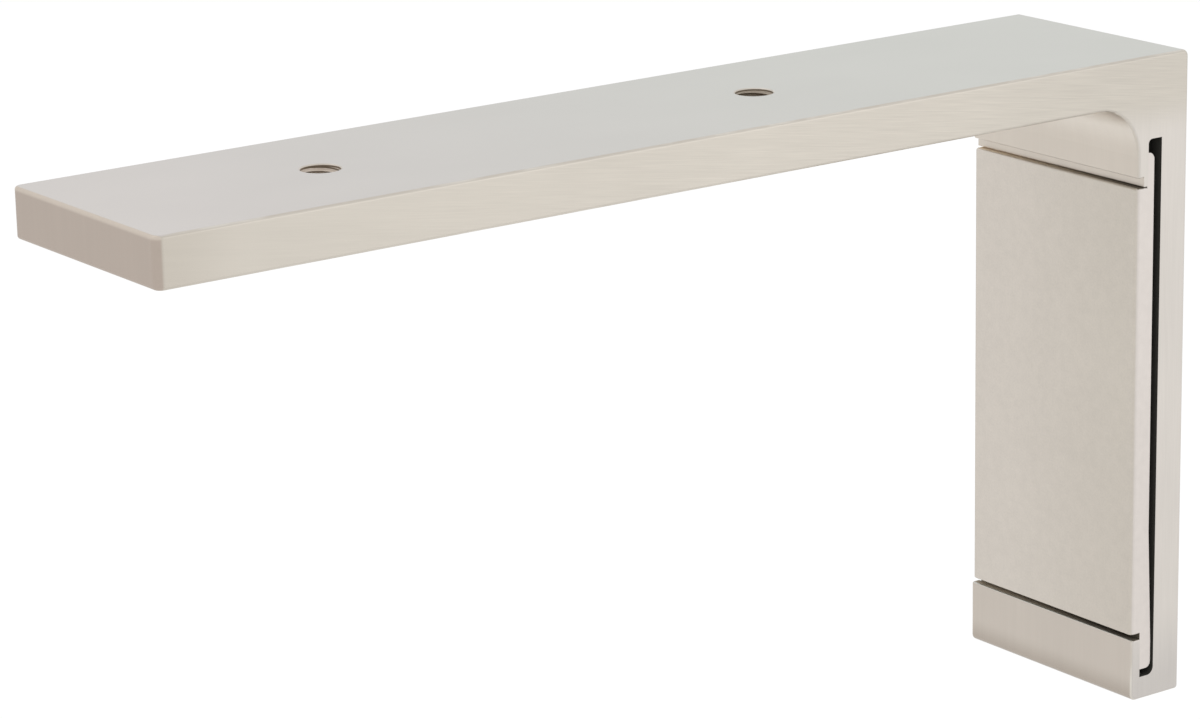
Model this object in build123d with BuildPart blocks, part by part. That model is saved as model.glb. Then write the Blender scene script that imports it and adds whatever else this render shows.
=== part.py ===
"""Shelf bracket: a one-piece L of arm and leg, with a cover plate that slides into the leg.

The leg stands against a wall and the arm carries the shelf. A slot runs through the leg from
side to side, open to the front between an upper and a lower lip. Two countersunk wall screws
go through the slot's back wall. The cover plate slides in sideways and hides them, with one
tongue behind each lip.

Millimetres. +Z is up, the wall is the plane Y = 0, the arm points along -Y, and X runs across
the width. The origin lies on the wall plane, midway between the two wall screws.
"""
from build123d import *
import os

# Overall sizes of the bracket
width = 40.0
arm_reach = 190.0
arm_thick = 7.7
leg_height = 108.0
leg_depth = 10.5

# Rounding of the bracket's corners and edges
elbow_radius = 8.5
heel_radius = 1.1
tip_corner_radius = 1.3
foot_front_radius = 1.1
foot_back_radius = 0.6
side_edge_radius = 0.5

# Tapped holes for the shelf screws, M6, at the thread's major diameter
shelf_hole_radius = 3.0
shelf_hole_chamfer = 0.15
first_shelf_hole = 72.3
shelf_hole_spacing = 78.7

# Countersunk holes for the wall screws, in the slot's back wall
wall_hole_radius = 2.5
wall_hole_sink_radius = 4.8
wall_hole_sink_angle = 90.0
wall_hole_spacing = 46.0
wall_hole_mid_height = 49.0

# Slot through the leg, and the lips that close its front at both ends
slot_floor_thick = 3.9
slot_below_arm = 5.8
slot_head_depth = 4.9
slot_foot_depth = 4.75
slot_floor_radius = 1.3
slot_roof_radius = 0.8
upper_lip_thick = 2.05
upper_lip_drop = 7.65
rebate_depth = 1.15
rebate_height = 1.45
rebate_edge_radius = 0.3
lower_lip_thick = 1.75
lower_lip_rise = 6.6
lower_lip_radius = 0.3

# Cover plate, and the gaps between it and the bracket
slide_gap = 0.1
lower_slide_gap = 0.2
cover_side_inset = 0.3
cover_back_gap = 1.3
cover_foot_back_gap = 0.4
cover_foot_rise = 5.6
cover_foot_taper = 19.0
cover_head_gap = 2.3
cover_foot_gap = 1.2
cover_shoulder_gap = 0.2
cover_lower_gap = 0.85
cover_side_radius = 0.8
cover_shoulder_radius = 0.4
cover_lower_radius = 0.25
tongue_head_radius = 1.2
tongue_foot_radius = 1.0

# Heights in the bracket
foot = -wall_hole_mid_height
top = foot + leg_height
underside = top - arm_thick
slot_floor = foot + slot_floor_thick
slot_roof = underside - slot_below_arm
upper_lip_end = slot_roof - upper_lip_drop
rebate_top = upper_lip_end + rebate_height
lower_lip_end = slot_floor + lower_lip_rise

# Depths in the bracket, negative because they stand out from the wall
tip = -arm_reach
front = -leg_depth
slot_head_back = front + slot_head_depth
slot_foot_back = front + slot_foot_depth
upper_lip_back = front + upper_lip_thick
lower_lip_back = front + lower_lip_thick
rebate_face = front + rebate_depth


def corner(sketch, y, z):
    """The corner of a side profile that lies nearest to the point y, z."""
    return sketch.vertices().sort_by_distance((y, z))[0]


def cross_edge(part, y, z):
    """The straight edge across the width that lies nearest to the point y, z."""
    return part.edges().filter_by(Axis.X).sort_by_distance((0, y, z))[0]


# Bracket: the side profile of arm and leg, carried across the width
with BuildPart() as bracket:
    with BuildSketch(Plane.YZ) as elbow:
        with BuildLine():
            Polyline(
                (0, foot),
                (0, top),
                (tip, top),
                (tip, underside),
                (front, underside),
                (front, foot),
                close=True,
            )
        make_face()
        fillet(corner(elbow, front, underside), elbow_radius)
        fillet(corner(elbow, 0, top), heel_radius)
        fillet(corner(elbow, front, foot), foot_front_radius)
        fillet(corner(elbow, 0, foot), foot_back_radius)
    extrude(amount=width / 2, both=True)
    fillet(bracket.edges().filter_by(Axis.Z).group_by(Axis.Y)[0], tip_corner_radius)
    # Every outer edge runs smoothly on from the tip's top edge, so its fillet covers them all
    fillet(cross_edge(bracket, tip, top), side_edge_radius)

    # The slot, the opening in front of it and the rebate under the upper lip
    mouth = front - leg_depth
    with BuildSketch(Plane.YZ) as slot:
        with BuildLine():
            Polyline(
                (upper_lip_back, slot_roof),
                (slot_head_back, slot_roof),
                (slot_foot_back, slot_floor),
                (lower_lip_back, slot_floor),
                (lower_lip_back, lower_lip_end),
                (mouth, lower_lip_end),
                (mouth, rebate_top),
                (rebate_face, rebate_top),
                (rebate_face, upper_lip_end),
                (upper_lip_back, upper_lip_end),
                close=True,
            )
        make_face()
        fillet(corner(slot, upper_lip_back, slot_roof), slot_roof_radius)
        fillet(corner(slot, slot_foot_back, slot_floor), slot_floor_radius)
    extrude(amount=width, both=True, mode=Mode.SUBTRACT)
    fillet(cross_edge(bracket, front, rebate_top), rebate_edge_radius)
    lip_edges = [
        cross_edge(bracket, front, lower_lip_end),
        cross_edge(bracket, lower_lip_back, lower_lip_end),
    ]
    fillet(lip_edges, lower_lip_radius)

    # Tapped holes through the arm, eased at both mouths
    with Locations(Plane.XY.offset(top)):
        with Locations((0, -first_shelf_hole), (0, -first_shelf_hole - shelf_hole_spacing)):
            Hole(shelf_hole_radius)
    chamfer(bracket.edges(Select.LAST).filter_by(GeomType.CIRCLE), shelf_hole_chamfer)

    # Countersunk holes through the back wall, entered from the slot
    back_wall = Plane(origin=(0, slot_foot_back, 0), x_dir=(1, 0, 0), z_dir=(0, -1, 0))
    with Locations(back_wall):
        with GridLocations(0, wall_hole_spacing, 1, 2):
            CounterSinkHole(
                radius=wall_hole_radius,
                counter_sink_radius=wall_hole_sink_radius,
                counter_sink_angle=wall_hole_sink_angle,
            )

# Heights and depths in the cover plate, each set off from the bracket by a gap
tongue_head = slot_roof - cover_head_gap
shoulder = upper_lip_end - cover_shoulder_gap
cover_lower_edge = lower_lip_end + cover_lower_gap
tongue_foot = slot_floor + cover_foot_gap
taper_start = slot_floor + cover_foot_rise
taper_end = taper_start + cover_foot_taper
upper_tongue_front = upper_lip_back + slide_gap
lower_tongue_front = lower_lip_back + lower_slide_gap
cover_back = slot_head_back - cover_back_gap
cover_foot_back = slot_foot_back - cover_foot_back_gap

# Cover plate: flush with the front of the leg, thicker towards its foot
with BuildPart() as cover_plate:
    with BuildSketch(Plane.YZ) as plate:
        with BuildLine():
            Polyline(
                (front, cover_lower_edge),
                (lower_tongue_front, cover_lower_edge),
                (lower_tongue_front, tongue_foot),
                (cover_foot_back, tongue_foot),
                (cover_foot_back, taper_start),
                (cover_back, taper_end),
                (cover_back, tongue_head),
                (upper_tongue_front, tongue_head),
                (upper_tongue_front, shoulder),
                (front, shoulder),
                close=True,
            )
        make_face()
        fillet(corner(plate, cover_back, tongue_head), tongue_head_radius)
        fillet(corner(plate, cover_foot_back, tongue_foot), tongue_foot_radius)
    extrude(amount=width / 2 - cover_side_inset, both=True)
    side_edges = cover_plate.edges().filter_by(Axis.Z).group_by(Axis.Y)[0]
    fillet(side_edges, cover_side_radius)
    front_face = cover_plate.faces().sort_by(Axis.Y)[0]
    fillet(front_face.edges().sort_by(Axis.Z)[-1], cover_shoulder_radius)
    fillet(cross_edge(cover_plate, front, cover_lower_edge), cover_lower_radius)

bracket.part.label = "bracket"
cover_plate.part.label = "cover_plate"

os.makedirs("parts", exist_ok=True)
export_step(bracket.part, "parts/bracket.step")
export_step(cover_plate.part, "parts/cover_plate.step")
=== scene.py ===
# %% [markdown]
# # A shelf bracket in satin nickel
#
# The bracket is one solid L of metal. Its arm carries the shelf, its leg stands on the wall, and
# a cover plate slides into a slot in the leg to hide the two wall screws. The exact shapes come
# from the construction model, which is loaded first. This lesson adds what a construction model
# lacks: the screw threads, the finish of each surface, the light and the camera.

import math

import bpy
import numpy as np
from mathutils import Matrix, Vector


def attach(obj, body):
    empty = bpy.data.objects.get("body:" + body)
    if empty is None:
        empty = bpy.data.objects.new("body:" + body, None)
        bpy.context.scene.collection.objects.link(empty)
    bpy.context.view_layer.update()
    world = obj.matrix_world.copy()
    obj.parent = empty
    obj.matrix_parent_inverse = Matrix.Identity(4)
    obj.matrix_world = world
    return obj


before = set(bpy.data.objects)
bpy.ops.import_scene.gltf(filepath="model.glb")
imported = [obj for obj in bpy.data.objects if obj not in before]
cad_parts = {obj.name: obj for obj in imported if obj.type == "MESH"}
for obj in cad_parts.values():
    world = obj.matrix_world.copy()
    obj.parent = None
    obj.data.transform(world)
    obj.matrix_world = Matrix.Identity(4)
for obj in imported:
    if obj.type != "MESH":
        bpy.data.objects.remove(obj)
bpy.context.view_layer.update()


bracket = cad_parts["bracket"]
cover_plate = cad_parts["cover_plate"]

# %% [markdown]
# ## The sizes that the finishes need
#
# Everything is in metres, because that is Blender's unit. The wall is the plane y = 0, the arm
# points along -y, and z is up. A finish that changes from one part of the bracket to another
# needs to know where those parts are. Picking faces by hand would work too, but it would be
# undone by the next change to the shape, so the few places that matter are written down here.
# They repeat the construction model's own values.

# %% Named sizes
MM = 0.001
half_width = 20.0 * MM
arm_top = 59.0 * MM
arm_underside = 51.3 * MM
arm_tip = -190.0 * MM
leg_front = -10.5 * MM
leg_foot = -49.0 * MM
print("arm", round((leg_front - arm_tip) / MM, 1), "mm clear of the leg")

# %% [markdown]
# ## The camera
#
# A long lens from close to two thirds of a metre keeps the edges of a small object nearly
# parallel, as a catalogue picture does. The camera is placed by two angles around the object,
# a distance, and a point that it looks at. It is then turned a little about its own line of
# sight, and slipped sideways without turning. Building the rotation from three perpendicular
# directions is surer than adding a constraint, because nothing is left to be evaluated later.

# %% Camera directions
camera_azimuth = math.radians(54.175)
camera_elevation = math.radians(15.6)
camera_roll = math.radians(-1.18)
back = Vector(
    (
        math.sin(camera_azimuth) * math.cos(camera_elevation),
        -math.cos(camera_azimuth) * math.cos(camera_elevation),
        math.sin(camera_elevation),
    )
)
level_right = (-back).cross(Vector((0, 0, 1))).normalized()
level_up = level_right.cross(-back).normalized()
right = level_right * math.cos(camera_roll) + level_up * math.sin(camera_roll)
up = level_up * math.cos(camera_roll) - level_right * math.sin(camera_roll)
print("the camera looks along", [round(-part, 3) for part in back])

# %% Camera
camera_distance = 656.25 * MM
camera_aim = Vector((0.0, -80.0, 17.667)) * MM
slip_right, slip_up = -18.226 * MM, 0.146 * MM

# Blender gives a camera's sensor and lens in millimetres, and everything else in metres.
lens = bpy.data.cameras.new("camera")
lens.sensor_width = 36.0
lens.lens = 127.12
lens.clip_start, lens.clip_end = 0.01, 50.0
camera = bpy.data.objects.new("camera", lens)
bpy.context.scene.collection.objects.link(camera)
camera_place = camera_aim + right * slip_right + up * slip_up + back * camera_distance
camera_turn = Matrix((right, up, back)).transposed().to_4x4()
camera.matrix_world = Matrix.Translation(camera_place) @ camera_turn
bpy.context.scene.camera = camera
bpy.context.scene.view_settings.view_transform = "Standard"
print("camera at", [round(part, 3) for part in camera_place])

# %% [markdown]
# ## Building materials in code
#
# A material is a network of nodes, and it could be drawn by hand in the Shader Editor. Code makes
# the same network and shows every number in it. These small helpers add a node, set its values
# and join it to others, so that each finish below reads as a short recipe.

# %% Helpers that add nodes


def new_material(name):
    """An empty node material, and its tree."""
    material = bpy.data.materials.new(name)
    material.use_nodes = True
    material.node_tree.nodes.clear()
    return material, material.node_tree


def add(tree, kind, inputs=None, **settings):
    """Adds a node. settings are its own properties, and inputs are socket values or links."""
    node = tree.nodes.new(kind)
    for key, value in settings.items():
        setattr(node, key, value)
    for key, value in (inputs or {}).items():
        if isinstance(value, bpy.types.NodeSocket):
            tree.links.new(value, node.inputs[key])
        else:
            node.inputs[key].default_value = value
    return node


def rgb(red, green, blue):
    """A colour for a socket."""
    return (red, green, blue, 1.0)


print("ready to add nodes")

# %% Helpers that count and blend


def math_node(tree, operation, a, b=0.0, c=0.0, clamp=False):
    """One step of arithmetic on sockets or numbers."""
    node = add(tree, "ShaderNodeMath", {0: a, 1: b, 2: c}, operation=operation)
    node.use_clamp = clamp
    return node.outputs[0]


# A Mix node has its own set of sockets for numbers and for colours. The keys below pick them.


def blend_colour(tree, share, first, second):
    """A colour between first and second, by share from 0 to 1."""
    node = add(tree, "ShaderNodeMix", {0: share, 6: first, 7: second}, data_type="RGBA")
    return node.outputs[2]


def blend_value(tree, share, first, second):
    """A number between first and second, by share from 0 to 1."""
    node = add(tree, "ShaderNodeMix", {0: share, 2: first, 3: second}, data_type="FLOAT")
    return node.outputs[0]


print("ready to count and blend")

# %% [markdown]
# ## The studio
#
# A satin metal shows its surroundings, so the studio matters as much as the material. The world
# is an even white room of strength 1, at which a colour looks about as it is written. A picture
# of a real studio could light the scene too, but it would bring its own tints.

# %% World
white = rgb(1.0, 1.0, 1.0)
world = bpy.data.worlds.new("studio")
bpy.context.scene.world = world
world.use_nodes = True
world.node_tree.nodes.clear()
sky = add(world.node_tree, "ShaderNodeBackground", {"Color": white, "Strength": 1.0})
add(world.node_tree, "ShaderNodeOutputWorld", {"Surface": sky.outputs[0]})
print("world nodes", len(world.node_tree.nodes))

# %% [markdown]
# The floor is one big square, well below the bracket, which hangs on a wall in use and so isn't
# set down on anything. A curved backdrop would do as well, and isn't needed in a white room.

# %% Floor
floor_level = -0.36
floor_reach = 7.0
floor_mesh = bpy.data.meshes.new("floor")
floor_corners = [(-1, -1), (1, -1), (1, 1), (-1, 1)]
floor_mesh.from_pydata(
    [(x * floor_reach, y * floor_reach, floor_level) for x, y in floor_corners],
    [],
    [(0, 1, 2, 3)],
)
floor = bpy.data.objects.new("floor", floor_mesh)
bpy.context.scene.collection.objects.link(floor)
print("floor at", floor_level)

# %% [markdown]
# The floor's paint is a pale grey for the light that falls on it, and white for the camera and
# for what metal and glass mirror. From below it is clear, so that the underside of the arm can
# be looked at too.

# %% Floor paint


def seen_directly(tree):
    """One for a ray from the camera, a reflection or a clear material, and nought otherwise."""
    ray = add(tree, "ShaderNodeLightPath")
    seen = math_node(tree, "MAXIMUM", ray.outputs["Is Camera Ray"], ray.outputs["Is Glossy Ray"])
    return math_node(tree, "MAXIMUM", seen, ray.outputs["Is Transmission Ray"], clamp=True)


floor_paint, tree = new_material("floor_paint")
pale = rgb(0.86, 0.86, 0.86)
paint_colour = blend_colour(tree, seen_directly(tree), pale, white)
paint = add(tree, "ShaderNodeBsdfDiffuse", {"Color": paint_colour})
ray = add(tree, "ShaderNodeLightPath")
side = add(tree, "ShaderNodeNewGeometry")
from_below = math_node(
    tree, "MULTIPLY", side.outputs["Backfacing"], ray.outputs["Is Camera Ray"]
)
clear = add(tree, "ShaderNodeBsdfTransparent")
surface = add(
    tree, "ShaderNodeMixShader", {0: from_below, 1: paint.outputs[0], 2: clear.outputs[0]}
)
add(tree, "ShaderNodeOutputMaterial", {"Surface": surface.outputs[0]})
floor_mesh.materials.append(floor_paint)
print("floor paint nodes", len(tree.nodes))

# %% [markdown]
# ## The lamps
#
# Large soft boxes, all turned towards the bracket and none of them visible themselves. A flat
# face of metal brightens when a lamp stands where that face would mirror it to the camera, so
# each lamp is placed for the faces that it should lift. Small lamps would make hard bright spots
# on a satin finish.

# %% Lamps
lamp_aim = Vector((0, -0.08, 0))


def soft_lamp(name, spot, size, power, colour):
    """A square soft box at spot, facing the bracket."""
    light = bpy.data.lights.new(name, "AREA")
    light.shape, light.size = "SQUARE", size
    light.energy, light.color = power, colour
    lamp = bpy.data.objects.new(name, light)
    bpy.context.scene.collection.objects.link(lamp)
    lamp.visible_camera = False
    turn = (lamp_aim - Vector(spot)).to_track_quat("-Z", "Y").to_matrix().to_4x4()
    lamp.matrix_world = Matrix.Translation(Vector(spot)) @ turn
    return lamp


plain, cool = (1.0, 1.0, 1.0), (0.85, 0.95, 1.0)
lamps = [
    soft_lamp("key_lamp", (-0.9, -0.9, 1.5), size=1.2, power=1.0, colour=plain),
    soft_lamp("right_lamp", (1.3, 0.9, 0.25), size=1.0, power=1.4, colour=plain),
    soft_lamp("cool_lamp", (-1.3, 0.9, 0.6), size=1.0, power=0.2, colour=cool),
]
print("lamps", [lamp.name for lamp in lamps])

# %% [markdown]
# ## The screw threads
#
# Both holes in the arm are tapped for M6 machine screws. The construction model has plain bores
# at the thread's full diameter, and the ridges are made here. A thread could be a triangle
# carried along a helix, but its ends would stay open. It is simpler to think of the bore's wall
# as one surface, whose radius rises and falls once for each turn and each pitch. A ring with
# that wall inside and a plain wall outside is closed, and the plain wall is out of sight.

# %% Thread sizes
hole_centres = (-72.3 * MM, -151.0 * MM)
mouth_chamfer = 0.15 * MM
thread_pitch = 1.0 * MM
thread_crest = 2.46 * MM
thread_root = 2.93 * MM
thread_outside = 2.98 * MM
thread_lead_in = 0.3 * MM
half_crest_flat = thread_pitch / 8
flank_slope = math.tan(math.radians(60))
run_in_slope = 2.0
print("thread depth", round((thread_root - thread_crest) / MM, 2), "mm")

# %% The thread's wall


def thread_radius(angle, height, length, start):
    """The radius of the thread's wall, at an angle and a height above its lower end.

    The distance to the nearest crest, along the axis, comes from the height in pitches less the
    angle in turns, plus start, the share of a pitch by which the thread starts early. The wall is
    flat near the crest, and then falls back at 60 degrees until it meets the root. At both ends
    a short plain collar and a cone, which let the screw in, cut the crests away.
    """
    phase = (height / thread_pitch - angle / (2 * np.pi) + start) % 1.0
    from_crest = np.abs(phase - 0.5) * thread_pitch
    flank = (from_crest - half_crest_flat) * flank_slope
    ridge = np.clip(thread_crest + flank, thread_crest, thread_root)
    to_end = np.minimum(height, length - height)
    run_in = thread_root - run_in_slope * (to_end - thread_lead_in)
    return np.clip(np.maximum(ridge, run_in), thread_crest, thread_root)


one_pitch = np.linspace(3.0, 4.0, 5) * MM
sample = thread_radius(0.0, one_pitch, length=7.4 * MM, start=0.0)
print("radius over one pitch", (sample / MM).round(2), "mm")

# %% A ring with that wall
around, rows_per_pitch = 96, 18


def thread_ring(name, centre_y, start):
    """A closed ring around an upright axis, with the thread's wall on its inside.

    Its points are a grid of angle by row. The rows climb the inside, and two more come down the
    outside, so that the last row joins the first.
    """
    low, high = arm_underside + mouth_chamfer, arm_top - mouth_chamfer
    length = high - low
    rows = round(length / thread_pitch * rows_per_pitch) + 1
    angle = np.linspace(0, 2 * np.pi, around, endpoint=False)[None, :]
    height = np.linspace(0, length, rows)[:, None]
    inside = thread_radius(angle, height, length, start)
    radius = np.vstack([inside, np.full((2, around), thread_outside)])
    level = np.vstack([height, [[length]], [[0.0]]]) + low
    points = np.stack(
        np.broadcast_arrays(radius * np.cos(angle), radius * np.sin(angle) + centre_y, level),
        axis=-1,
    ).reshape(-1, 3)
    index = np.arange(len(points)).reshape(-1, around)
    beside = np.roll(index, -1, axis=1)
    faces = np.stack([index, np.roll(index, -1, 0), np.roll(beside, -1, 0), beside], axis=-1)
    mesh = bpy.data.meshes.new(name)
    mesh.from_pydata(points.tolist(), [], faces.reshape(-1, 4).tolist())
    mesh.polygons.foreach_set("use_smooth", np.ones(len(mesh.polygons), dtype=bool))
    ring = bpy.data.objects.new(name, mesh)
    bpy.context.scene.collection.objects.link(ring)
    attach(ring, "bracket")
    return ring


thread_rings = [
    thread_ring("thread_1", hole_centres[0], start=0.85),
    thread_ring("thread_2", hole_centres[1], start=0.4),
]
print("thread faces", [len(ring.data.polygons) for ring in thread_rings])

# %% [markdown]
# ## Patterns that fit the metal
#
# Every pattern below is made of noise or of smooth ramps. They all read Object coordinates, so
# that a millimetre in the pattern is a millimetre on the bracket. An image would need unwrapping
# and would blur up close.

# %% Noise and ramps


def noise(tree, position, stretch, detail=2.0, turn=0.0):
    """Noise from 0 to 1, whose blobs measure stretch = (x, y, z) in metres.

    The position is turned about the x axis first, and then divided by the stretch.
    """
    turned = add(
        tree, "ShaderNodeVectorRotate", {"Vector": position, "Angle": turn}, rotation_type="X_AXIS"
    )
    scaled = add(
        tree,
        "ShaderNodeMapping",
        {"Vector": turned.outputs[0], "Scale": tuple(1.0 / size for size in stretch)},
    )
    texture = add(
        tree, "ShaderNodeTexNoise", {"Vector": scaled.outputs[0], "Scale": 1.0, "Detail": detail}
    )
    return texture.outputs[0]


def ramp(tree, value, start, end):
    """Nought at start, one at end, and a smooth rise between. start may be the larger."""
    node = add(
        tree,
        "ShaderNodeMapRange",
        {"Value": value, "From Min": start, "From Max": end},
        interpolation_type="SMOOTHSTEP",
    )
    return node.outputs[0]


def both(tree, *shares):
    """The product of shares."""
    result = shares[0]
    for share in shares[1:]:
        result = math_node(tree, "MULTIPLY", result, share)
    return result


def within(tree, value, low, high, soft):
    """One from low to high, and nought outside, with soft edges."""
    above = ramp(tree, value, low - soft, low + soft)
    below = ramp(tree, value, high + soft, high - soft)
    return both(tree, above, below)


print("noise and ramps ready")

# %% Tints


def tint(tree, colour, value, amount):
    """A colour made lighter or darker by amount, where value goes above or below a half."""
    factor = math_node(tree, "MULTIPLY_ADD", value, amount, 1.0 - amount / 2)
    scaled = add(tree, "ShaderNodeVectorMath", {0: colour, "Scale": factor}, operation="SCALE")
    return scaled.outputs[0]


def soften(tree, value, share):
    """A value drawn towards a half, so that only a share of its swing is left."""
    swing = math_node(tree, "SUBTRACT", value, 0.5)
    return math_node(tree, "MULTIPLY_ADD", swing, share, 0.5)


print("tints ready")

# %% [markdown]
# A finish also asks where on the piece a point lies, and which way its face looks. The face's
# normal is an arrow of length one, so a part of -0.9 along y means that the face looks almost
# straight out from the wall. Vertex groups or painted masks could say the same, but they belong
# to a mesh that isn't to be touched.

# %% Facts about the surface


def surface_facts(tree):
    """Sockets for the position, its x, y and z, how far sideways a face looks, and its normal."""
    coordinates = add(tree, "ShaderNodeTexCoord")
    place = add(tree, "ShaderNodeSeparateXYZ", {0: coordinates.outputs["Object"]})
    facing = add(tree, "ShaderNodeSeparateXYZ", {0: coordinates.outputs["Normal"]})
    sideways = math_node(tree, "ABSOLUTE", facing.outputs[0])
    return coordinates.outputs["Object"], place.outputs, sideways, facing.outputs


def rounded_edge(tree, sideways):
    """One where a face looks half sideways, which only the rounded edge of a side does."""
    off_edge = math_node(tree, "MULTIPLY_ADD", sideways, 2.0, -1.0)
    off_edge = math_node(tree, "ABSOLUTE", off_edge)
    return ramp(tree, off_edge, 0.9, 0.2)


def metal(tree, colour, roughness, metallic, height, relief):
    """A metal surface with height, from 0 to 1, raised by relief metres."""
    bump = add(tree, "ShaderNodeBump", {"Height": height, "Strength": 1.0, "Distance": relief})
    inputs = {
        "Base Color": colour,
        "Metallic": metallic,
        "Roughness": roughness,
        "Normal": bump.outputs[0],
    }
    shader = add(tree, "ShaderNodeBsdfPrincipled", inputs)
    add(tree, "ShaderNodeOutputMaterial", {"Surface": shader.outputs[0]})


print("surface helpers ready")

# %% [markdown]
# ## Satin nickel on the bracket
#
# Nickel plate takes its grain from the metal under it. The bracket was linished: a belt ran along
# the arm at a slight slant, down the leg, and straight down the arm's end. Each line that it left
# is a stretched blob of noise, long in the direction of the belt and a fraction of a millimetre
# across it. Broader and fainter bands lie along the lines.

# %% Lines of the belt
bracket_nickel, tree = new_material("bracket_nickel")
position, (x, y, z), sideways, facing = surface_facts(tree)
looks_front = ramp(tree, facing[1], -0.6, -0.9)
looks_up = ramp(tree, facing[2], 0.6, 0.9)
on_leg = ramp(tree, z, arm_underside + 1 * MM, arm_underside - 6 * MM)
runs_down = math_node(tree, "MAXIMUM", on_leg, looks_front)

belt_slant = math.radians(8)
arm_lines = noise(tree, position, (0.5 * MM, 9 * MM, 0.2 * MM), detail=3.0, turn=belt_slant)
arm_bands = noise(tree, position, (3 * MM, 30 * MM, 1.1 * MM), detail=1.0, turn=belt_slant)
leg_lines = noise(tree, position, (0.3 * MM, 0.2 * MM, 9 * MM), detail=3.0)
leg_bands = noise(tree, position, (1.3 * MM, 1.1 * MM, 30 * MM), detail=1.0)
lines = blend_value(tree, runs_down, arm_lines, leg_lines)
bands = blend_value(tree, runs_down, arm_bands, leg_bands)
print("belt lines", len(tree.nodes), "nodes")

# %% [markdown]
# A satin face mirrors a different part of the room from each spot on it, and so its tone drifts
# from end to end. More lamps and screens could draw that drift. Here it is painted reflection:
# colours that blend along the face give the same calm look and hold from every side. The sides
# come first: warm along the arm, paler down the leg in a painted sheen, and a little darker at
# both ends in painted shade.

# %% Tones of the sides
nickel_arm = rgb(0.593, 0.553, 0.492)
arm_end_painted_shade = rgb(0.534, 0.493, 0.433)
heel_painted_shade = rgb(0.55, 0.513, 0.455)
leg_side_painted_sheen = rgb(0.617, 0.58, 0.538)
leg_foot_painted_shade = rgb(0.54, 0.51, 0.48)

# Painted shade darkens the end of the arm, the heel and the foot.
to_arm_end = ramp(tree, y, arm_tip + 16 * MM, arm_tip + 1 * MM)
to_heel = ramp(tree, y, -70 * MM, -4 * MM)
to_foot = ramp(tree, z, leg_foot + 16 * MM, leg_foot + 2 * MM)
arm_colour = blend_colour(tree, to_arm_end, nickel_arm, arm_end_painted_shade)
arm_colour = blend_colour(tree, to_heel, arm_colour, heel_painted_shade)
leg_colour = blend_colour(tree, to_foot, leg_side_painted_sheen, leg_foot_painted_shade)
colour = blend_colour(tree, on_leg, arm_colour, leg_colour)
print("side tones", len(tree.nodes), "nodes")

# %% [markdown]
# The front of the leg is deeper in tone than its sides, in painted shade. It darkens towards
# the lower lip, and most of all at the foot, and is lightest at the elbow, in painted light. A
# face is picked by the way it looks, and not by hand, so the colour runs smoothly over the
# rounded edges.

# %% Tones of the front
elbow_painted_light = rgb(0.61, 0.555, 0.49)
lip_painted_shade = rgb(0.545, 0.493, 0.438)
lip_foot_painted_shade = rgb(0.42, 0.37, 0.32)

# The front's painted shade deepens down the leg, from painted light at the elbow.
down_leg = ramp(tree, z, arm_underside - 8 * MM, leg_foot + 8 * MM)
at_lip_foot = ramp(tree, z, leg_foot + 4.5 * MM, leg_foot)
front_colour = blend_colour(tree, down_leg, elbow_painted_light, lip_painted_shade)
front_colour = blend_colour(tree, at_lip_foot, front_colour, lip_foot_painted_shade)
colour = blend_colour(tree, looks_front, colour, front_colour)
print("front tones", len(tree.nodes), "nodes")

# %% [markdown]
# The hollow of the elbow is the fillet between arm and leg. It catches the light of the room
# twice and shines, except for a small dark patch under its near rim. The patch could be a shadow
# of a well-placed lamp, but a lamp would change every other face too. So the shine is a painted
# highlight, and the patch a painted shadow.

# %% The hollow of the elbow
fillet_painted_highlight = rgb(0.75, 0.7, 0.63)
fillet_rim_painted_shadow = rgb(0.5, 0.44, 0.39)

# The hollow's shine is a painted highlight, and the patch at its rim a painted shadow.
in_hollow = both(
    tree,
    ramp(tree, z, arm_underside - 8 * MM, arm_underside - 1.5 * MM),
    ramp(tree, y, leg_front - 9 * MM, leg_front - 5 * MM),
    ramp(tree, facing[1], -0.02, -0.1),
    ramp(tree, sideways, 0.5, 0.2),
)
at_rim = both(
    tree,
    ramp(tree, x, half_width - 6 * MM, half_width - 0.5 * MM),
    ramp(tree, z, arm_underside - 3.4 * MM, arm_underside - 0.8 * MM),
)
hollow_colour = blend_colour(tree, at_rim, fillet_painted_highlight, fillet_rim_painted_shadow)
colour = blend_colour(tree, in_hollow, colour, hollow_colour)
print("hollow", len(tree.nodes), "nodes")

# %% [markdown]
# The top mirrors the open room and is the coolest face, with a trace of warmth towards the tip,
# all in painted reflection. The tip itself is the darkest and warmest face, in painted shade, and
# a painted highlight runs as a thin pale band along its top edge.

# %% Tones of the top and the tip
nickel_top = rgb(0.547, 0.548, 0.512)
nickel_top_tip = rgb(0.562, 0.532, 0.508)
top_end_painted_sheen = rgb(0.59, 0.555, 0.53)
tip_painted_shade = rgb(0.449, 0.383, 0.332)
tip_edge_painted_highlight = rgb(0.59, 0.52, 0.45)

along_top = ramp(tree, y, -30 * MM, arm_tip)
at_top_end = ramp(tree, y, arm_tip + 45 * MM, arm_tip)
top_colour = blend_colour(tree, along_top, nickel_top, nickel_top_tip)
top_colour = blend_colour(tree, at_top_end, top_colour, top_end_painted_sheen)
colour = blend_colour(tree, looks_up, colour, top_colour)

# The tip's dark tone is painted shade, and the band along its top edge a painted highlight.
near_tip = ramp(tree, y, arm_tip + 20 * MM, arm_tip + 5 * MM)
on_tip = both(tree, near_tip, ramp(tree, facing[1], -0.1, -0.4))
at_tip_edge = ramp(tree, z, arm_top - 0.8 * MM, arm_top - 0.3 * MM)
tip_colour = blend_colour(tree, at_tip_edge, tip_painted_shade, tip_edge_painted_highlight)
colour = blend_colour(tree, on_tip, colour, tip_colour)
print("top and tip tones", len(tree.nodes), "nodes")

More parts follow.
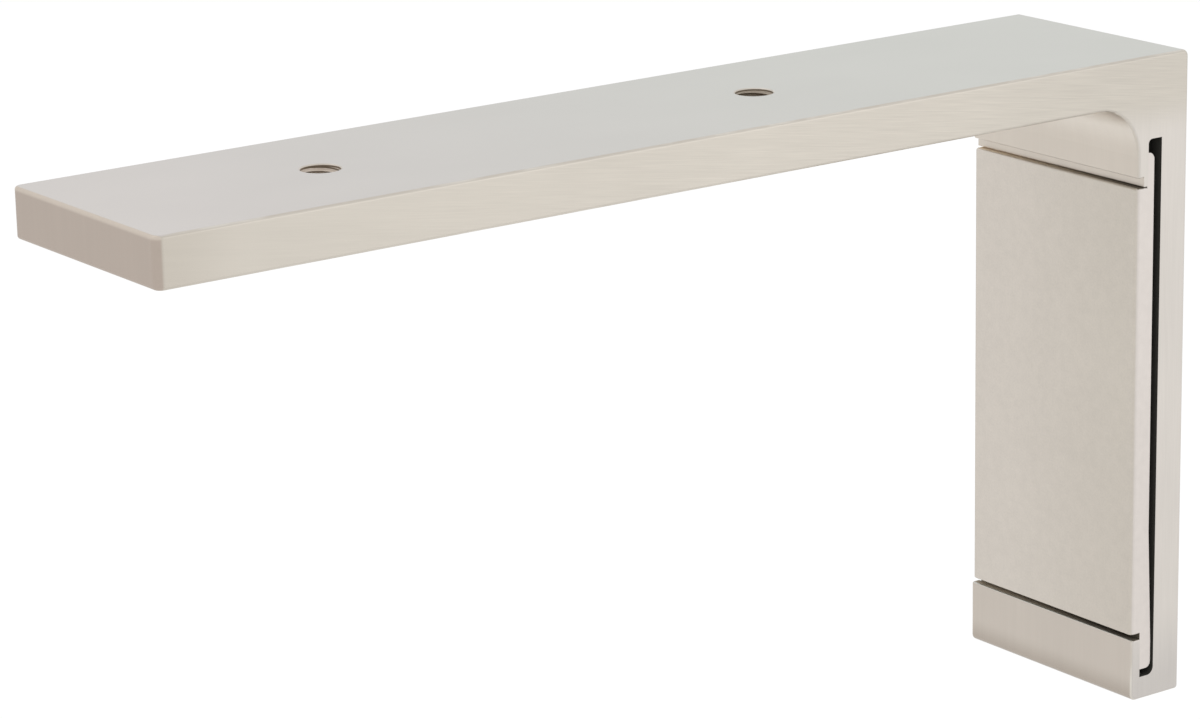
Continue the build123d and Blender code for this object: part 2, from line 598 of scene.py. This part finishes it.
# %% [markdown]
# Hands and packing rub the edges. They keep a thin line of their own, which is bright in patches,
# where wear and a painted highlight meet, and a little darker between, in painted shade. Blender's
# Bevel node could find edges, but it is slow and isn't needed here: only a rounded edge looks
# half sideways.

# %% Rubbed edges, with painted highlight and shade
edge_painted_shade = rgb(0.57, 0.525, 0.465)
edge_wear_and_highlight = rgb(0.665, 0.63, 0.575)

off_tip = ramp(tree, y, arm_tip + 1 * MM, arm_tip + 4 * MM)
# Bright patches on the edges mix wear with painted highlight, and the line between is painted
# shade.
on_edge = both(tree, rounded_edge(tree, sideways), off_tip)
patches = noise(tree, position, (2 * MM, 8 * MM, 8 * MM), detail=4.0)
wear_and_highlight = ramp(tree, patches, 0.42, 0.66)
edge_colour = blend_colour(tree, wear_and_highlight, edge_painted_shade, edge_wear_and_highlight)
colour = blend_colour(tree, on_edge, colour, edge_colour)
print("edges", len(tree.nodes), "nodes")

# %% [markdown]
# Now the lines are laid over the tones. They are plain on the sides of the arm, fainter on the
# leg, and almost polished away on top and on the front faces. They also fade towards the end of
# the arm, where the belt ran off. Bands and wide soft clouds break up what is left.

# %% Lay the lines over the tones
side_line_tint, top_line_tint = 0.31, 0.09
band_tint, cloud_tint = 0.05, 0.06
leg_strength, front_strength, top_strength = 0.42, 0.12, 0.25

line_strength = ramp(tree, y, arm_tip - 60 * MM, -30 * MM)
line_strength = blend_value(tree, on_leg, line_strength, leg_strength)
line_strength = blend_value(tree, looks_front, line_strength, front_strength)
line_strength = blend_value(tree, looks_up, line_strength, top_strength)
lines = soften(tree, lines, line_strength)
line_tint = blend_value(tree, looks_up, side_line_tint, top_line_tint)
colour = tint(tree, colour, soften(tree, lines, line_tint), 1.0)
bands = blend_value(tree, looks_up, bands, 0.5)
colour = tint(tree, colour, bands, band_tint)
clouds = noise(tree, position, (14 * MM, 20 * MM, 14 * MM))
colour = tint(tree, colour, clouds, cloud_tint)
print("lines laid", len(tree.nodes), "nodes")

# %% [markdown]
# ## Painted shade in the slot
#
# The slot and the ledges of its lips are seen only through the gaps around the cover, where they
# are nearly black beside the side openings. The front gaps are dark at the near end and lighten
# to tan at the far end, where light comes through. Rays alone leave such narrow gaps too pale,
# because the metal on both sides is bright, so this shade and light are painted into the colour
# for each place. The cover's back and tongues share the recipe.

# %% The painted shade and light of the gaps
slot_painted_shade = rgb(0.032, 0.03, 0.024)
slot_middle_painted_shade = rgb(0.3, 0.275, 0.24)
mouth_painted_shade = rgb(0.13, 0.106, 0.076)
mouth_far_painted_light = rgb(0.85, 0.71, 0.54)
mouth_foot_painted_shade = rgb(0.1, 0.083, 0.06)
mouth_foot_far_painted_light = rgb(0.42, 0.36, 0.28)


def gap_shade_colour(tree, x, z, in_slot):
    """The painted shade and light of the gaps, by place across and up the leg."""
    to_far_side = ramp(tree, x, half_width, -half_width)
    to_head = ramp(tree, z, -20 * MM, 20 * MM)
    near_colour = blend_colour(tree, to_head, mouth_foot_painted_shade, mouth_painted_shade)
    far_colour = blend_colour(tree, to_head, mouth_foot_far_painted_light, mouth_far_painted_light)
    mouth_colour = blend_colour(tree, to_far_side, near_colour, far_colour)
    off_centre = math_node(tree, "ABSOLUTE", x)
    by_opening = ramp(tree, off_centre, half_width - 7 * MM, half_width - 3 * MM)
    slot_colour = blend_colour(tree, by_opening, slot_middle_painted_shade, slot_painted_shade)
    return blend_colour(tree, in_slot, mouth_colour, slot_colour)


print("dull metal mixed")

# %% The bracket's slot
# The slot and the mouth in front of it are two boxes that reach a little past their faces.
slot_back = -5.0 * MM
slot_front, mouth_front = leg_front + 1.7 * MM, leg_front + 0.35 * MM
slot_low, slot_high = leg_foot + 3.8 * MM, leg_foot + 94.6 * MM
mouth_low, mouth_high = leg_foot + 10.4 * MM, leg_foot + 86.9 * MM

within_slot = both(
    tree,
    within(tree, y, slot_front, slot_back, 0.03 * MM),
    within(tree, z, slot_low, slot_high, 0.05 * MM),
)
within_mouth = both(
    tree,
    within(tree, y, mouth_front, slot_back, 0.1 * MM),
    within(tree, z, mouth_low, mouth_high, 0.05 * MM),
)
# Where the slot or its mouth shows, its colour is painted shade, lightened by painted light at the
# far end.
painted_gap_shade = math_node(tree, "MAXIMUM", within_slot, within_mouth)
painted_gap_shade = both(tree, painted_gap_shade, ramp(tree, sideways, 0.8, 0.6))
colour = blend_colour(tree, painted_gap_shade, colour, gap_shade_colour(tree, x, z, within_slot))
print("slot", round((slot_high - slot_low) / MM, 1), "mm high")

# %% [markdown]
# Last come the gloss and the relief. The lines change the roughness a little and raise the
# surface by a few thousandths of a millimetre. Rubbed edges are smoother, and the metal in painted
# shade is quite rough and isn't metallic, so that it mirrors nothing.

# %% The bracket's metal
satin_roughness, line_roughness, edge_roughness = 0.31, 0.14, -0.05
line_relief = 0.006 * MM

metallic = math_node(tree, "SUBTRACT", 1.0, painted_gap_shade)
roughness = math_node(tree, "MULTIPLY_ADD", lines, line_roughness, satin_roughness)
roughness = math_node(tree, "MULTIPLY_ADD", on_edge, edge_roughness, roughness)
roughness = blend_value(tree, painted_gap_shade, roughness, 1.0)
metal(tree, colour, roughness, metallic, lines, line_relief)
print("bracket finish nodes", len(tree.nodes))

# %% [markdown]
# ## Blasted nickel on the cover
#
# The cover is a separate casting. Its front was blasted with fine beads rather than brushed, so
# its grain is round, small and shallow. Only its two narrow sides carry the lines of the belt.

# %% Grain of the cover
cover_nickel, tree = new_material("cover_nickel")
position, (x, y, z), sideways, _ = surface_facts(tree)
on_side = ramp(tree, sideways, 0.6, 0.95)
speckle = noise(tree, position, (0.35 * MM, 0.35 * MM, 0.35 * MM))
side_lines = noise(tree, position, (0.3 * MM, 0.2 * MM, 9 * MM), detail=3.0)
grain = blend_value(tree, on_side, speckle, side_lines)
mottle = noise(tree, position, (1.4 * MM, 1.4 * MM, 1.4 * MM))
clouds = noise(tree, position, (12 * MM, 12 * MM, 16 * MM), detail=1.0)
print("cover grain", len(tree.nodes), "nodes")

# %% Tones of the cover
# The cover's tones are painted reflection: paler towards its far side and on its narrow sides, and
# darker towards the foot, with painted shade along its rounded edges.
nickel = rgb(0.577, 0.533, 0.473)
cover_foot_painted_shade = rgb(0.565, 0.52, 0.462)
cover_far_painted_sheen = rgb(0.62, 0.573, 0.518)
cover_side_painted_sheen = rgb(0.653, 0.607, 0.571)
front_grain_tint, side_grain_tint = 0.16, 0.08
mottle_tint, cover_cloud_tint = 0.1, 0.05

down_cover = ramp(tree, z, 10 * MM, leg_foot + 8 * MM)
across_cover = ramp(tree, x, half_width, -half_width)
near_colour = blend_colour(tree, down_cover, nickel, cover_foot_painted_shade)
colour = blend_colour(tree, across_cover, near_colour, cover_far_painted_sheen)
colour = blend_colour(tree, rounded_edge(tree, sideways), colour, edge_painted_shade)
colour = blend_colour(tree, on_side, colour, cover_side_painted_sheen)
grain_tint = blend_value(tree, on_side, front_grain_tint, side_grain_tint)
colour = tint(tree, colour, soften(tree, grain, grain_tint), 1.0)
colour = tint(tree, colour, mottle, mottle_tint)
colour = tint(tree, colour, clouds, cover_cloud_tint)
print("cover tones", len(tree.nodes), "nodes")

# %% [markdown]
# Everything behind the cover's front edge takes the painted shade of the gaps, apart from its
# narrow sides. Its tongues count as part of the front gaps, and what lies deeper as part of the
# slot.

# %% The cover's metal
blasted_roughness, grain_roughness = 0.36, 0.12
grain_relief = 0.008 * MM

behind_front = ramp(tree, y, leg_front + 0.2 * MM, leg_front + 0.45 * MM)
behind_tongues = ramp(tree, y, leg_front + 2.2 * MM, leg_front + 2.4 * MM)
painted_gap_shade = both(tree, behind_front, ramp(tree, sideways, 0.8, 0.6))
colour = blend_colour(tree, painted_gap_shade, colour, gap_shade_colour(tree, x, z, behind_tongues))
metallic = math_node(tree, "SUBTRACT", 1.0, painted_gap_shade)
roughness = math_node(tree, "MULTIPLY_ADD", grain, grain_roughness, blasted_roughness)
roughness = blend_value(tree, painted_gap_shade, roughness, 1.0)
metal(tree, colour, roughness, metallic, grain, grain_relief)
print("cover finish nodes", len(tree.nodes))

# %% [markdown]
# ## Cut metal in the threads
#
# The threads are cut after plating, so they show the browner metal beneath, with cutting marks
# that run around the hole. The hole nearer the wall is darker. Upright faces, which are the roots
# and crests, are darkened in painted shade, because a hole this narrow holds little light.

# %% Thread finish
thread_brown, thread_pale = rgb(0.46, 0.38, 0.31), rgb(0.64, 0.565, 0.49)
thread_darker_near_wall, thread_dark = rgb(0.36, 0.31, 0.25), rgb(0.27, 0.215, 0.16)
cut_roughness, mark_roughness, mark_tint = 0.25, 0.2, 0.2
mark_relief = 0.006 * MM
cut_metallic = 0.6

thread_metal, tree = new_material("thread_metal")
position, (_, y, _), _, facing = surface_facts(tree)
stain = noise(tree, position, (1.5 * MM, 1.5 * MM, 1.5 * MM))
marks = noise(tree, position, (0.5 * MM, 0.5 * MM, 0.06 * MM))
nearer_wall = ramp(tree, y, -120 * MM, -100 * MM)
upright = ramp(tree, math_node(tree, "ABSOLUTE", facing[2]), 0.45, 0.15)
colour = blend_colour(tree, stain, thread_brown, thread_pale)
colour = blend_colour(tree, nearer_wall, colour, thread_darker_near_wall)
colour = tint(tree, colour, marks, mark_tint)
colour = blend_colour(tree, upright, colour, thread_dark)
roughness = math_node(tree, "MULTIPLY_ADD", marks, mark_roughness, cut_roughness)
metal(tree, colour, roughness, cut_metallic, marks, mark_relief)
print("thread finish nodes", len(tree.nodes))

# %% [markdown]
# ## Dress the pieces
#
# A material shows once it is in a slot of a piece. The pieces of the construction model already
# have slots, and only what is in them changes. The threads have none yet, and get one each.

# %% Put each finish on its piece


def dress(piece, material):
    """Puts the material in every slot of a piece, or in a first slot if it has none."""
    if not piece.material_slots:
        piece.data.materials.append(material)
    for slot in piece.material_slots:
        slot.material = material


dress(bracket, bracket_nickel)
dress(cover_plate, cover_nickel)
for ring in thread_rings:
    dress(ring, thread_metal)
print("dressed", 2 + len(thread_rings), "pieces")
